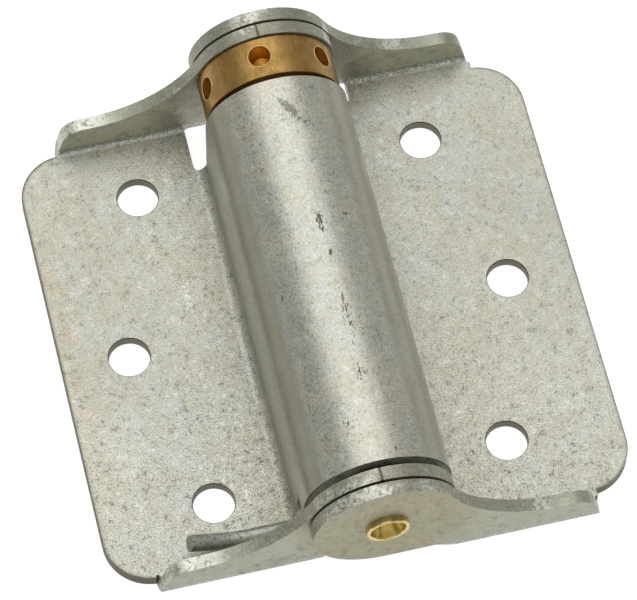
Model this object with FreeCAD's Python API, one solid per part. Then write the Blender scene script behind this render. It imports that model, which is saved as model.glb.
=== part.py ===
import FreeCAD, Part
import math
import os

Vec = FreeCAD.Vector

# Single-acting spring hinge, lying open on its leaves' backs.
# Y runs along the pin towards the collar, the swing leaf points along +X, and z = 0 is the leaves' backs.
# Angles round the pin are in degrees, counted from +X over the top.

# Sheet
sheet = 2.8                 # thickness of both stampings
bend_radius = 1.25          # inside radius of the ears' bends

# Leaves
hinge_height = 114.3        # over the outer ears' outer faces
swing_setback = 5.55        # from the outer ears' outer faces in to the ends of the swing leaf's plate
barrel_setback = 3.35       # from the inner ears' outer faces in to the ends of the barrel leaf's plate
leaf_reach = 55.5           # pin axis to each plate's outer edge
leaf_corner = 10.0          # radius of the plates' outer corners
pin_height = 20.4           # pin axis above the leaves' backs

# Screw holes, three in each leaf
screw_radius = 4.4
inner_screw_reach = 31.2    # pin axis to the two inner holes
outer_screw_reach = 41.0    # pin axis to the middle hole
inner_screw_spacing = 73.3  # between the two inner holes

# Ears
ear_gap = 0.6               # running gap between an inner and an outer ear
ear_setback = 9.2           # plate's outer edge in to the foot of the ear's tip
ear_end_angle = 76.0        # slope of the tip's end
ear_tip_radius = 5.0
ear_shoulder = 11.0         # height of the ear's low end above the leaf's back
neck_radius = 27.0          # hollow curve from the round head to the low end
head_step = 0.1             # how far the round heads stand in from the barrel's outside
head_foot = 10.7            # where the head's flat foot starts to slope down to the bend

# Relief beside the ears' bends
swing_gap = 0.2             # from the barrel's side out to the swing leaf's inner edge
swing_relief_depth = 3.3    # of the swing leaf's notches, to the feet of its ears
swing_relief_width = 3.85   # of those notches, along the pin
relief_rise = 2.5           # height of the ears' lower edges over the notches
swing_sill = 2.6            # length of that edge on the swing leaf's ears
barrel_sill = 5.3           # length of that edge on the barrel leaf's ears
relief_round = 1.3          # of the notches' corners

# Barrel
barrel_radius = 15.3        # outside
barrel_fold = 2.6           # hollow radius where the plate turns up into the barrel
barrel_end_angle = -80.0    # where the rolled edge stops, past the top and down the far side
barrel_low_gap = 1.5        # between the barrel and the lower inner ear
slot_height = 15.6          # top of the spring's slot above the leaf's back
slot_play = 1.1             # on each side of the wire

# Pin
pin_radius = 3.55
pin_seat = 0.02             # radial clearance in the outer ears, which hold the pin
pin_running = 0.06          # radial clearance in the inner ears and the collar
pin_proud = 1.3             # how far both ends stand out of the ears
pin_head_radius = 5.6
pin_head_rim = 0.5          # straight edge under the head's dome
flare_radius = 4.5          # lower end, flared over the ear
flare_mouth = 3.6           # inside radius of the flared lip
flare_depth = 3.4           # of the funnel below the lip
tube_radius = 2.7           # bore of the tubular end
tube_depth = 9.0
drill_angle = 59.0          # half angle of a drilled hole's floor

# Collar
collar_step = 0.7           # how far the collar stands in from the barrel's outside
collar_length = 9.2         # without its spigot
collar_gap = 1.5            # between the collar and the barrel
collar_play = 0.15          # between the collar and the upper inner ear
collar_edge = 0.12          # chamfer
spigot_length = 3.5
spigot_play = 0.4           # radial, in the barrel
tommy_count = 6
tommy_radius = 2.3
tommy_depth = 5.2
tommy_lip = 0.2             # chamfer
tommy_angle = 98.5          # place of the first hole
tommy_set = 4.25            # from the collar's upper face down to the holes' centres

# Spring
wire_radius = 1.75
coil_play = 1.25            # between the coil and the barrel's bore
coil_pitch = 5.0
coil_arcs = 4               # arcs that make one turn of the coil
coil_top_gap = 1.0          # between the top coil and the collar's spigot
leg_reach = 38.5            # pin axis to the leg's cut end
leg_toe = 10.0              # from the cut end back to where the leg turns up off the leaf
leg_lift = 3.3              # rise from there to the cut end
knee_bend = 18.0
leg_play = 0.1              # between the leg and the leaf it lies on
leg_slope = 20.0            # rise from the leaf to the coil
leg_bend = 6.0
hook_bend = 3.4             # of the upper end, into the collar
hook_depth = 1.5            # reach of the hook past the spigot's shoulder
hook_play = 0.2

# Places along the pin
outer_face = hinge_height / 2
inner_face = outer_face - sheet - ear_gap
collar_high = inner_face - sheet - collar_play
collar_low = collar_high - collar_length
spigot_low = collar_low - spigot_length
barrel_high = collar_low - collar_gap
barrel_low = barrel_low_gap + sheet - inner_face
barrel_length = barrel_high - barrel_low
leg_y = barrel_low + wire_radius + slot_play

# Places across the pin
axis = Vec(0, 0, pin_height)
along = Vec(0, 1, 0)
across = Vec(1, 0, 0)
bend_depth = sheet + bend_radius
fold_line = barrel_radius + barrel_fold
barrel_bore = barrel_radius - sheet
swing_inner = barrel_radius + swing_gap
swing_relief = swing_inner + swing_relief_depth
ear_end = leaf_reach - ear_setback
head_radius = barrel_radius - head_step
collar_radius = barrel_radius - collar_step

# Course of the spring's wire: it leaves the leaf, climbs the coil and turns up into the collar
coil_radius = barrel_bore - coil_play - wire_radius
arc_turn = 360 / coil_arcs
arc_climb = coil_pitch / coil_arcs
arc_corner = coil_radius / math.cos(math.radians(arc_turn / 2))
coil_rise = math.atan2(arc_climb, 2 * arc_corner * math.sin(math.radians(arc_turn / 2)))
leg_z = sheet + leg_play + wire_radius
coil_start = 270 + leg_slope
leg_drop = pin_height - coil_radius * math.cos(math.radians(leg_slope)) - leg_z
leg_run = leg_drop / (math.sin(math.radians(leg_slope)) * math.cos(coil_rise))
coil_low = leg_y + leg_run * math.sin(coil_rise)
arc_count = math.floor((spigot_low - coil_top_gap - wire_radius - coil_low) / arc_climb)
coil_high = coil_low + arc_count * arc_climb
coil_end = coil_start + arc_count * arc_turn
hook_run = hook_bend * math.tan((math.pi / 2 - coil_rise) / 2)


def line(start, end):
    return Part.LineSegment(start, end).toShape()


def arc(start, middle, end):
    return Part.Arc(start, middle, end).toShape()


def face(edges):
    return Part.Face(Part.Wire(edges))


def around(angle, radius, y=0.0):
    # point at an angle round the pin's axis and a distance from it
    turn = math.radians(angle)
    return Vec(radius * math.cos(turn), y, pin_height + radius * math.sin(turn))


def turned(edges):
    # solid of revolution about the pin's axis
    return face(edges).revolve(axis, along, 360)


def profile_lines(points):
    # runs between (radius, y) pairs, for a turned profile
    places = [Vec(radius, y, pin_height) for radius, y in points]
    return [line(a, b) for a, b in zip(places, places[1:])]


def pin_bore(radius):
    # drill through all the ears
    return Part.makeCylinder(radius, hinge_height, Vec(0, -outer_face, pin_height), along)


def tangent_arc(start, corner, end):
    # arc between two runs of a path, from a point on each that is equally far from their corner
    incoming = (corner - start).normalize()
    outgoing = (end - corner).normalize()
    half = incoming.getAngle(outgoing) / 2
    radius = start.distanceToPoint(corner) / math.tan(half)
    inward = (outgoing - incoming).normalize()
    return arc(start, corner + inward * (radius / math.cos(half) - radius), end)


def rounded_turn(before, corner, after, radius):
    # arc of a given radius that rounds the corner of a path, with the points where it starts and ends
    incoming = (corner - before).normalize()
    outgoing = (after - corner).normalize()
    reach = radius * math.tan(incoming.getAngle(outgoing) / 2)
    start = corner - incoming * reach
    end = corner + outgoing * reach
    return start, tangent_arc(start, corner, end), end


def ear_outline(relief, sill):
    # side view of an ear: round head on the pin, hollow neck, low rounded tip, foot on the plate's bend
    # and a level lower edge over the notch beside that foot
    neck_z = ear_shoulder + neck_radius
    neck_x = math.sqrt((head_radius + neck_radius) ** 2 - (neck_z - pin_height) ** 2)
    neck_centre = Vec(neck_x, 0, neck_z)
    to_neck = (neck_centre - axis).normalize()
    head_end = axis + to_neck * head_radius
    neck_end = Vec(neck_x, 0, ear_shoulder)
    neck_middle = neck_centre - (to_neck + Vec(0, 0, 1)).normalize() * neck_radius
    foot = Vec(ear_end, 0, 0)
    tip = Vec(ear_end - ear_shoulder / math.tan(math.radians(ear_end_angle)), 0, ear_shoulder)
    tip_low, tip_arc, tip_high = rounded_turn(foot, tip, neck_end, ear_tip_radius)
    head_middle = axis + to_neck.cross(along).normalize() * head_radius
    head_low = axis - Vec(0, 0, head_radius)
    flat_end = Vec(head_foot, 0, head_low.z)
    relief_foot = Vec(relief, 0, 0)
    relief_corner = Vec(relief, 0, relief_rise)
    sill_start = Vec(relief - sill, 0, relief_rise)
    turn_start, turn, turn_end = rounded_turn(sill_start, relief_corner, relief_foot, relief_round)
    return [
        line(foot, tip_low),
        tip_arc,
        line(tip_high, neck_end),
        arc(neck_end, neck_middle, head_end),
        arc(head_end, head_middle, head_low),
        line(head_low, flat_end),
        line(flat_end, sill_start),
        line(sill_start, turn_start),
        turn,
        line(turn_end, relief_foot),
        line(relief_foot, foot),
    ]


def folded_ear(outer, relief, sill):
    # upper ear on +X: a bent strip of sheet, trimmed to the ear's outline and clear of the notch beside its foot
    top = pin_height + head_radius
    centre = Vec(-head_radius, outer - bend_depth, bend_depth)
    slant = Vec(0, math.sqrt(0.5), -math.sqrt(0.5))
    low_out = centre - Vec(0, 0, bend_depth)
    low_in = centre - Vec(0, 0, bend_radius)
    side_out = centre + along * bend_depth
    side_in = centre + along * bend_radius
    top_out = Vec(-head_radius, outer, top)
    top_in = Vec(-head_radius, outer - sheet, top)
    strip = face([
        line(low_in, low_out),
        arc(low_out, centre + slant * bend_depth, side_out),
        line(side_out, top_out),
        line(top_out, top_in),
        line(top_in, side_in),
        arc(side_in, centre + slant * bend_radius, low_in),
    ])
    bent = strip.extrude(across * (head_radius + ear_end))
    outline = face(ear_outline(relief, sill))
    outline.translate(along * centre.y)
    notch = Part.makeBox(relief - head_foot, bend_radius, bend_depth, Vec(head_foot, centre.y, 0))
    return bent.common(outline.extrude(along * bend_depth)).cut(notch)


def plate(outer, setback, inner_edge):
    # flat of a leaf on +X: inner_edge runs from y = 0 to the bend of its upper ear, and both halves match
    bend_line = outer - bend_depth
    first = inner_edge[0].Vertexes[0].Point
    last = inner_edge[-1].Vertexes[-1].Point
    centre = Vec(leaf_reach - leaf_corner, outer - setback - leaf_corner, 0)
    rise = math.sqrt(leaf_corner ** 2 - (ear_end - centre.x) ** 2)
    step = Vec(ear_end, bend_line, 0)
    start = Vec(ear_end, centre.y + rise, 0)
    end = Vec(leaf_reach, centre.y, 0)
    middle = centre + (start + end - centre * 2).normalize() * leaf_corner
    outer_middle = Vec(leaf_reach, 0, 0)
    edges = inner_edge + [
        line(last, step),
        line(step, start),
        arc(start, middle, end),
        line(end, outer_middle),
        line(outer_middle, first),
    ]
    half = face(edges).extrude(Vec(0, 0, sheet))
    return half.fuse(half.mirror(Vec(), along))


def with_ears(flat, ear):
    # a plate and its two ears
    return flat.fuse([ear, ear.mirror(Vec(), along)])


def screw_holes():
    # the three holes of a leaf on +X
    spread = along * (inner_screw_spacing / 2)
    inner = across * inner_screw_reach
    places = [inner + spread, inner - spread, across * outer_screw_reach]
    return [Part.makeCylinder(screw_radius, sheet, place) for place in places]


def swing_leaf():
    # plate with two outer ears, and a relief notch beside each bend
    bend_line = outer_face - bend_depth
    notch = bend_line - swing_relief_width
    middle = Vec(swing_inner, 0, 0)
    mouth = Vec(swing_inner, notch, 0)
    corner = Vec(swing_relief, notch, 0)
    bend = Vec(swing_relief, bend_line, 0)
    turn_start, turn, turn_end = rounded_turn(mouth, corner, bend, relief_round)
    inner_edge = [line(middle, mouth), line(mouth, turn_start), turn, line(turn_end, bend)]
    flat = plate(outer_face, swing_setback, inner_edge)
    leaf = with_ears(flat, folded_ear(outer_face, swing_relief, swing_sill))
    return leaf.removeSplitter().cut(screw_holes()).cut(pin_bore(pin_radius + pin_seat))


def barrel_section():
    # the plate folds up at the fold line on -X, rises beside the pin and rolls over it
    slant = Vec(math.sqrt(0.5), 0, -math.sqrt(0.5))
    fold = Vec(-fold_line, 0, sheet + barrel_fold)
    plate_back = Vec(-fold_line, 0, 0)
    plate_front = Vec(-fold_line, 0, sheet)
    wall_foot = fold + across * barrel_fold
    bore_foot = fold + across * (barrel_fold + sheet)
    over = (180 + barrel_end_angle) / 2
    rolled_edge = around(barrel_end_angle, barrel_radius)
    bore_edge = around(barrel_end_angle, barrel_bore)
    return face([
        line(plate_back, plate_front),
        arc(plate_front, fold + slant * barrel_fold, wall_foot),
        line(wall_foot, around(180, barrel_radius)),
        arc(around(180, barrel_radius), around(over, barrel_radius), rolled_edge),
        line(rolled_edge, bore_edge),
        arc(bore_edge, around(over, barrel_bore), around(180, barrel_bore)),
        line(around(180, barrel_bore), bore_foot),
        arc(bore_foot, fold + slant * (barrel_fold + sheet), plate_back),
    ])


def rolled_length(low, length):
    # a length of the barrel, starting at a place along the pin
    section = barrel_section()
    section.translate(along * low)
    return section.extrude(along * length)


def notch_corner():
    # hollow corner of the notch beside the collar, where the fold starts
    block = Part.makeBox(relief_round, relief_round, pin_height, Vec(-fold_line, barrel_high, 0))
    hollow = Vec(relief_round - fold_line, barrel_high + relief_round, 0)
    corner = block.cut(Part.makeCylinder(relief_round, pin_height, hollow))
    return rolled_length(barrel_high, relief_round).common(corner)


def barrel_leaf():
    # plate with two inner ears and the barrel, a notch beside the collar and a slot for the spring's leg
    bend_line = inner_face - bend_depth
    ear_inside = inner_face - sheet
    inner_edge = [line(Vec(fold_line, 0, 0), Vec(fold_line, bend_line, 0))]
    flat = plate(inner_face, barrel_setback, inner_edge)
    leaf = with_ears(flat, folded_ear(inner_face, fold_line, barrel_sill))
    leaf = leaf.cut(screw_holes()).mirror(Vec(), across)
    leaf = leaf.fuse([rolled_length(barrel_low, barrel_length), notch_corner()]).removeSplitter()
    slot_end = barrel_low + 2 * (wire_radius + slot_play)
    slot_place = Vec(-fold_line, -ear_inside, 0)
    slot = Part.makeBox(fold_line - barrel_bore, slot_end + ear_inside, slot_height, slot_place)
    return leaf.cut(slot).cut(pin_bore(pin_radius + pin_running))


def pivot_pin():
    # headed over the upper ear, tubular and flared over the lower one
    crown = outer_face + pin_proud
    lip = -crown
    lip_round = (flare_radius - flare_mouth) / 2
    rim = outer_face + pin_head_rim
    tube_floor = lip + tube_depth
    point = tube_floor + tube_radius / math.tan(math.radians(drill_angle))
    dome_radius = (pin_head_radius ** 2 + (crown - rim) ** 2) / (2 * (crown - rim))
    dome_turn = math.asin(pin_head_radius / dome_radius) / 2
    dome_drop = dome_radius * (1 - math.cos(dome_turn))
    dome_half = Vec(dome_radius * math.sin(dome_turn), crown - dome_drop, pin_height)
    dome = arc(Vec(pin_head_radius, rim, pin_height), dome_half, Vec(0, crown, pin_height))
    lip_side = Vec(flare_radius, lip + lip_round, pin_height)
    lip_crest = Vec(flare_radius - lip_round, lip, pin_height)
    lip_mouth = Vec(flare_mouth, lip + lip_round, pin_height)
    bore = profile_lines([
        (0, crown),
        (0, point),
        (tube_radius, tube_floor),
        (tube_radius, lip + flare_depth),
        (flare_mouth, lip + lip_round),
    ])
    outside = profile_lines([
        (flare_radius, lip + lip_round),
        (flare_radius, -outer_face),
        (pin_radius, -outer_face),
        (pin_radius, outer_face),
        (pin_head_radius, outer_face),
        (pin_head_radius, rim),
    ])
    return turned(bore + [arc(lip_mouth, lip_crest, lip_side)] + outside + [dome])


def adjusting_collar():
    # collar with a spigot in the barrel, blind holes for a tommy bar and a socket for the spring's hook
    bore = pin_radius + pin_running
    spigot = barrel_bore - spigot_play
    body = turned(profile_lines([
        (bore, spigot_low),
        (spigot, spigot_low),
        (spigot, collar_low),
        (collar_radius - collar_edge, collar_low),
        (collar_radius, collar_low + collar_edge),
        (collar_radius, collar_high - collar_edge),
        (collar_radius - collar_edge, collar_high),
        (bore, collar_high),
        (bore, spigot_low),
    ]))
    centre = collar_high - tommy_set
    point = tommy_radius / math.tan(math.radians(drill_angle))
    drills = []
    for number in range(tommy_count):
        angle = tommy_angle + number * 360 / tommy_count
        outward = around(angle, 1.0) - axis
        floor = around(angle, collar_radius - tommy_depth, centre)
        lip = around(angle, collar_radius - tommy_lip, centre)
        drills.append(Part.makeCylinder(tommy_radius, tommy_depth, floor, outward))
        drills.append(Part.makeCone(tommy_radius, 0, point, floor, outward * -1))
        flared = tommy_radius + 2 * tommy_lip
        drills.append(Part.makeCone(tommy_radius, flared, 2 * tommy_lip, lip, outward))
    hook = spring_hook()
    socket_foot = Vec(hook.x, spigot_low, hook.z)
    socket_depth = spigot_length + hook_depth + hook_play
    drills.append(Part.makeCylinder(wire_radius + hook_play, socket_depth, socket_foot, along))
    return body.cut(drills)


def coil_heading(angle):
    # direction of the coil's wire as it climbs
    turn = math.radians(angle)
    flat = Vec(-math.sin(turn), 0, math.cos(turn))
    return flat * math.cos(coil_rise) + along * math.sin(coil_rise)


def spring_hook():
    # corner where the top coil turns up into the collar
    return around(coil_end, coil_radius, coil_high) + coil_heading(coil_end) * hook_run


def coil_point(step, radius):
    # point on the coil's course, counted in arcs from its start
    return around(coil_start + step * arc_turn, radius, coil_low + step * arc_climb)


def torsion_spring():
    # left-hand coil with a leg along the barrel leaf and a hook in the collar
    start = coil_point(0, coil_radius)
    end = coil_point(arc_count, coil_radius)
    leg_corner = start - coil_heading(coil_start) * leg_run
    knee = Vec(leg_toe - leg_reach, leg_corner.y, leg_corner.z)
    leg_tip = Vec(-leg_reach, knee.y, knee.z + leg_lift)
    knee_start, knee_arc, knee_end = rounded_turn(leg_tip, knee, leg_corner, knee_bend)
    leg_start, leg_arc, leg_end = rounded_turn(knee, leg_corner, start, leg_bend)
    hook_corner = spring_hook()
    hook_tip = Vec(hook_corner.x, collar_low + hook_depth, hook_corner.z)
    _, hook_arc, hook_end = rounded_turn(end, hook_corner, hook_tip, hook_bend)
    leg = [line(leg_tip, knee_start), knee_arc, line(knee_end, leg_start), leg_arc, line(leg_end, start)]
    coil = []
    for step in range(arc_count):
        corner = coil_point(step + 0.5, arc_corner)
        coil.append(tangent_arc(coil_point(step, coil_radius), corner, coil_point(step + 1, coil_radius)))
    hook = [hook_arc, line(hook_end, hook_tip)]
    section = Part.Wire(Part.makeCircle(wire_radius, leg_tip, knee - leg_tip))
    return Part.Wire(leg + coil + hook).makePipeShell([section], True, False)


pieces = {
    "barrel_leaf": barrel_leaf(),
    "swing_leaf": swing_leaf(),
    "adjusting_collar": adjusting_collar(),
    "torsion_spring": torsion_spring(),
    "pivot_pin": pivot_pin(),
}

os.makedirs("parts", exist_ok=True)
for name, shape in pieces.items():
    print(name, len(shape.Solids), "solid", round(shape.Volume), "mm3", "valid", shape.isValid())
    shape.exportStep("parts/" + name + ".step")
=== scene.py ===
import math
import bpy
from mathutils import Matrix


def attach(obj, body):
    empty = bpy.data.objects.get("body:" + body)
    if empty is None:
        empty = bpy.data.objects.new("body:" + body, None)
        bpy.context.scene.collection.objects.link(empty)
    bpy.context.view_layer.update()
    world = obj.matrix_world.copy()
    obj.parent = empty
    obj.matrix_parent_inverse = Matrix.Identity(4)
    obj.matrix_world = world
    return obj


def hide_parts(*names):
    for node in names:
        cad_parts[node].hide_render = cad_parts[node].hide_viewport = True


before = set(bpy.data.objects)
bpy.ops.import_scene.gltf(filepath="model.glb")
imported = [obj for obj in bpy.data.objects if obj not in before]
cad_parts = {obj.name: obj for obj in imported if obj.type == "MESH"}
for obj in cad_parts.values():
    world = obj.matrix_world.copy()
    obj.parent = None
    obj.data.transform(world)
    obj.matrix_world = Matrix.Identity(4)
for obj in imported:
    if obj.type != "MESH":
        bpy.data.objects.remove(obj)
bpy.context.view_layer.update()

from types import SimpleNamespace
import bmesh
import bpy
from mathutils import Euler, Vector

mm = 0.001
mixColors = (6, 7)  # the Mix node's two colour inputs
mixedColor = 2  # and its colour output
print("frame loaded with", ", ".join(sorted(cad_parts)))


# node trees

def feed(tree, socket, value):
    # a socket is linked, a plain value is set, and a colour gets its alpha
    if isinstance(value, bpy.types.NodeSocket):
        tree.links.new(value, socket)
    elif socket.type == "RGBA":
        socket.default_value = (*value, 1.0)
    else:
        socket.default_value = value


def addNode(tree, kind, feeds=None, **options):
    node = tree.nodes.new(kind)
    for name, value in options.items():
        setattr(node, name, value)
    for socket, value in (feeds or {}).items():
        feed(tree, node.inputs[socket], value)
    return node


def mathOf(tree, operation, first, second=0.0):
    return addNode(tree, "ShaderNodeMath", {0: first, 1: second}, operation=operation).outputs[0]


def plus(tree, first, second):
    return mathOf(tree, "ADD", first, second)


def minus(tree, first, second):
    return mathOf(tree, "SUBTRACT", first, second)


def larger(tree, first, second):
    return mathOf(tree, "MAXIMUM", first, second)


def unsigned(tree, value):
    return mathOf(tree, "ABSOLUTE", value)


def restOf(tree, share):
    return minus(tree, 1.0, share)


def product(tree, *values):
    total = values[0]
    for value in values[1:]:
        total = mathOf(tree, "MULTIPLY", total, value)
    return total


def negated(tree, value):
    return product(tree, value, -1.0)


def lengthOf(tree, first, second):
    squares = plus(tree, product(tree, first, first), product(tree, second, second))
    return mathOf(tree, "SQRT", squares)


def rise(tree, value, span):
    # 0 at the span's first value, 1 at its second, eased between them
    feeds = {"Value": value, "From Min": span[0], "From Max": span[1]}
    return addNode(tree, "ShaderNodeMapRange", feeds, interpolation_type="SMOOTHSTEP").outputs["Result"]


def bothRise(tree, first, firstSpan, second, secondSpan):
    return product(tree, rise(tree, first, firstSpan), rise(tree, second, secondSpan))


def tinted(tree, share, first, second):
    # from the first colour to the second as the share goes from 0 to 1
    feeds = {"Factor": share, mixColors[0]: first, mixColors[1]: second}
    return addNode(tree, "ShaderNodeMix", feeds, data_type="RGBA").outputs[mixedColor]


def coated(tree, body, color, *shares):
    # a colour laid over the body where all its shares are high
    return tinted(tree, product(tree, *shares), body, color)


def noiseOf(tree, place, scale, detail, roughness):
    feeds = {"Vector": place, "Scale": scale, "Detail": detail, "Roughness": roughness}
    return addNode(tree, "ShaderNodeTexNoise", feeds).outputs["Fac"]


def stretched(tree, place, scale):
    return addNode(tree, "ShaderNodeMapping", {"Vector": place, "Scale": scale}).outputs[0]


def axesOf(tree, place):
    return addNode(tree, "ShaderNodeSeparateXYZ", {"Vector": place}).outputs


def pointOf(tree, across, along, up):
    return addNode(tree, "ShaderNodeCombineXYZ", {"X": across, "Y": along, "Z": up}).outputs[0]


def ownValue(tree, name):
    return addNode(tree, "ShaderNodeAttribute", attribute_name=name).outputs["Fac"]


def newMetal(name):
    # a metal, its node tree and the piece's own coordinates in millimetres
    material = bpy.data.materials.new(name)
    material.use_nodes = True
    tree = material.node_tree
    coordinates = addNode(tree, "ShaderNodeTexCoord").outputs["Object"]
    return material, tree, stretched(tree, coordinates, (1 / mm,) * 3)


def spreadOf(settings, value):
    return {"Value": value, "To Min": settings["smooth"], "To Max": settings["dull"]}


def reliefOf(settings, height):
    return {"Height": height, "Strength": settings["bump"], "Distance": settings["bumpDepth"] * mm}


def finished(material, settings, body, spread, relief):
    # colour, roughness and relief reach the metal's shader
    tree = material.node_tree
    shader = tree.nodes["Principled BSDF"]
    shader.inputs["Metallic"].default_value = settings["metallic"]
    tree.links.new(body, shader.inputs["Base Color"])
    roughness = addNode(tree, "ShaderNodeMapRange", spread).outputs["Result"]
    tree.links.new(roughness, shader.inputs["Roughness"])
    normal = addNode(tree, "ShaderNodeBump", relief).outputs["Normal"]
    tree.links.new(normal, shader.inputs["Normal"])
    return material


# finishes: lengths are in millimetres, a noise is its scale to the millimetre, detail and roughness,
# and a pair of values is where an effect starts and where it is full

zinc = {
    # some of these colours stand for painted shade: on the barrel's flanks, on the ears' inner faces near the
    # barrel and along the sheet's edges
    "cool": (0.440, 0.462, 0.425), "warm": (0.525, 0.490, 0.385), "pale": (0.82, 0.82, 0.755),
    "dark": (0.12, 0.12, 0.095), "cut": (0.125, 0.115, 0.082), "edgeShade": (0.045, 0.043, 0.032),
    "tan": (0.325, 0.300, 0.182), "olive": (0.40, 0.41, 0.31), "inner": (0.68, 0.69, 0.54),
    "innerShade": (0.30, 0.29, 0.21), "bend": (0.34, 0.37, 0.365), "shade": (0.23, 0.225, 0.165),
    "rim": (0.30, 0.30, 0.24), "seam": (0.085, 0.07, 0.05),
    # the folded sheet
    "pinHeight": 20.4, "barrelRadius": 15.3, "barrelSkin": (17.5, 15.9), "barrelEnds": (50.5, 50.2),
    "raised": (3.1, 4.8), "earPlace": (50.2, 50.7), "bendFoot": (2.9, 3.2), "bendTop": (4.5, 3.8),
    "bendPlace": (49.3, 49.7), "leafReach": 55.5, "leafCorner": 10.0,
    # the coat's patterns
    "mottle": (0.2, 5.0, 0.62), "mottleSpan": (0.34, 0.66), "mottleDepth": 0.6,
    "blotch": (0.04, 3.0, 0.55), "blotchSpan": (0.36, 0.64), "blotchDepth": 0.35,
    "grain": (2.9, 1.0, 0.6), "cluster": (0.42, 3.0, 0.7), "fleck": (1.25, 2.0, 0.65),
    "fleckShare": 0.6, "clusterShare": 0.4,
    # how strong the grain is, and what it gains or loses by place
    "coarse": 0.6, "coarseReach": (44.0, 20.0), "coarseByBarrel": 0.15, "coarseAlong": (10.0, -45.0),
    "coarseLow": 0.33, "coarseAcross": (10.0, -20.0), "coarseLeft": 0.08,
    "finer": 0.55, "finerRolled": 0.3, "finerOutside": 0.2,
    # paler lower outer corners, warmer beside the barrel's lower end
    "bloomReach": (25.0, 46.0), "bloomAlong": (10.0, -28.0), "bloomDepth": 0.14,
    "besideReach": (32.0, 20.0), "besideAlong": (5.0, -40.0), "besideDepth": 0.45,
    # ears, bends and rims
    "hiddenReach": (28.0, 20.0), "hiddenHeight": (17.0, 8.0), "hiddenDepth": 0.9, "hiddenRound": (25.0, 18.0),
    "tanRound": (22.0, 14.0), "satinDepth": 0.7, "earCloud": (0.50, 0.30), "earCloudDepth": 0.3,
    "bendDepth": 0.6, "bendCrystals": (0.58, 0.67), "rimDepth": 0.8,
    "wearAndGlint": (0.11, 2.0, 0.55), "wearAndGlintSpan": (0.50, 0.60), "wearAndGlintFleck": (0.40, 0.56), "wearAndGlintDepth": 0.6,
    "wornAndGlintEnd": (40.0, 45.0), "wornAndGlintFleck": (0.36, 0.50),
    # which pattern, its start and full value, depth and colour
    "crystals": (
        ("fleck", (0.48, 0.33), 0.8, "dark"), ("fleck", (0.53, 0.68), 0.6, "pale"),
        ("grain", (0.50, 0.27), 0.58, "dark"), ("grain", (0.50, 0.73), 0.58, "pale"),
        ("grain", (0.34, 0.27), 0.6, "dark"),
    ),
    "pitPerMm": 0.07, "pitSpan": (0.021, 0.012), "pitDepth": 0.8,
    # the painted shade and dark outline along the outer edge, and the sheared edges, darker in their own
    # colour and in painted shade; the bands are measured from the corner's centre
    "outlinePast": (0.0, 1.5), "shadeBand": (9.1, 9.9), "outlineBand": (9.62, 9.88),
    "cutDepth": 0.9, "edgeShadeDepth": 0.75,
    # gloss and relief
    "metallic": 0.92, "smooth": 0.44, "dull": 0.62, "rolledSmoother": 0.11,
    "unevenMottle": 0.25, "unevenGrain": 1.1, "unevenFrom": 0.3, "unevenTo": 1.0,
    "bump": 0.35, "bumpDepth": 0.05, "reliefMottle": 0.8,
    "wave": (0.07, 3.0, 0.55), "waveBump": 1.0, "waveDepth": 0.5,
}
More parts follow.
